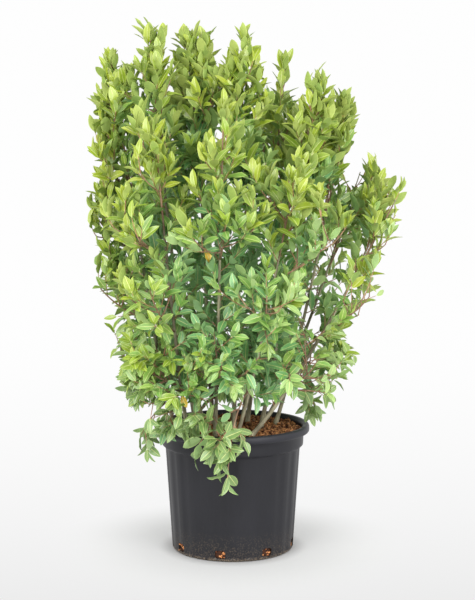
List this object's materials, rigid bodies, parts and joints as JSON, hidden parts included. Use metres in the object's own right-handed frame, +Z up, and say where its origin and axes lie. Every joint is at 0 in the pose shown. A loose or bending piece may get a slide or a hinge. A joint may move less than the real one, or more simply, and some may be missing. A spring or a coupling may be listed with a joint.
{
  "type": "potted bay laurel",
  "caption": "Bushy evergreen laurel with many slender stems and an open leafy crown, standing in a round black nursery pot, for a terrace, entrance or garden.",
  "frame": {"origin": "centre of the pot's flat underside, where it stands on the floor", "axes": "+Z up, +X to the right and -Y towards the viewer of the picture"},
  "size_m": [0.8121, 0.6765, 1.3751],
  "materials": {
    "pot": "moulded plastic, near black, slightly glossy, dusty at the foot",
    "medium": "loose coarse chips, matt brown",
    "bark": "smooth matt bark, grey brown",
    "foliage": "leathery leaves with a soft gloss, yellow green at the tips and deep green inside"
  },
  "bodies": {
    "root": {"pot": "pot", "growing_medium": "medium", "stem_far_left": "bark", "stem_left": "bark", "stem_left_centre": "bark", "stem_centre": "bark", "stem_right_centre": "bark", "stem_right": "bark", "stem_far_right": "bark", "stem_lobe": "bark", "stem_lobe_back": "bark", "stem_front_left": "bark", "stem_front": "bark", "stem_front_right": "bark", "stem_back_left": "bark", "stem_back_right": "bark", "foliage_top_far_left": "foliage", "foliage_top_left": "foliage", "foliage_top_left_centre": "foliage", "foliage_top_centre": "foliage", "foliage_top_right_centre": "foliage", "foliage_top_right": "foliage", "foliage_top_far_right": "foliage", "foliage_top_lobe": "foliage", "foliage_top_lobe_back": "foliage", "foliage_top_front_left": "foliage", "foliage_top_front": "foliage", "foliage_top_front_right": "foliage", "foliage_top_back_left": "foliage", "foliage_top_back_right": "foliage", "foliage_low_right": "foliage", "foliage_low_back_right": "foliage", "foliage_low_back": "foliage", "foliage_low_back_left": "foliage", "foliage_low_left": "foliage", "foliage_low_front_left": "foliage", "foliage_skirt_right": "foliage", "foliage_skirt_back_right": "foliage", "foliage_skirt_back": "foliage", "foliage_skirt_back_left": "foliage", "foliage_skirt_left": "foliage", "foliage_skirt_front_left": "foliage", "foliage_skirt_front": "foliage", "foliage_skirt_front_right": "foliage", "foliage_waist_right": "foliage", "foliage_waist_back_right": "foliage", "foliage_waist_back": "foliage", "foliage_waist_back_left": "foliage", "foliage_waist_left": "foliage", "foliage_waist_front_left": "foliage", "foliage_waist_front": "foliage", "foliage_waist_front_right": "foliage", "foliage_chest_back_right": "foliage", "foliage_chest_back_left": "foliage", "foliage_chest_left": "foliage", "foliage_chest_front_left": "foliage", "foliage_chest_front": "foliage", "foliage_chest_front_right": "foliage", "foliage_shoulder_left": "foliage", "foliage_hanging": "foliage"}
  },
  "joints": []
}
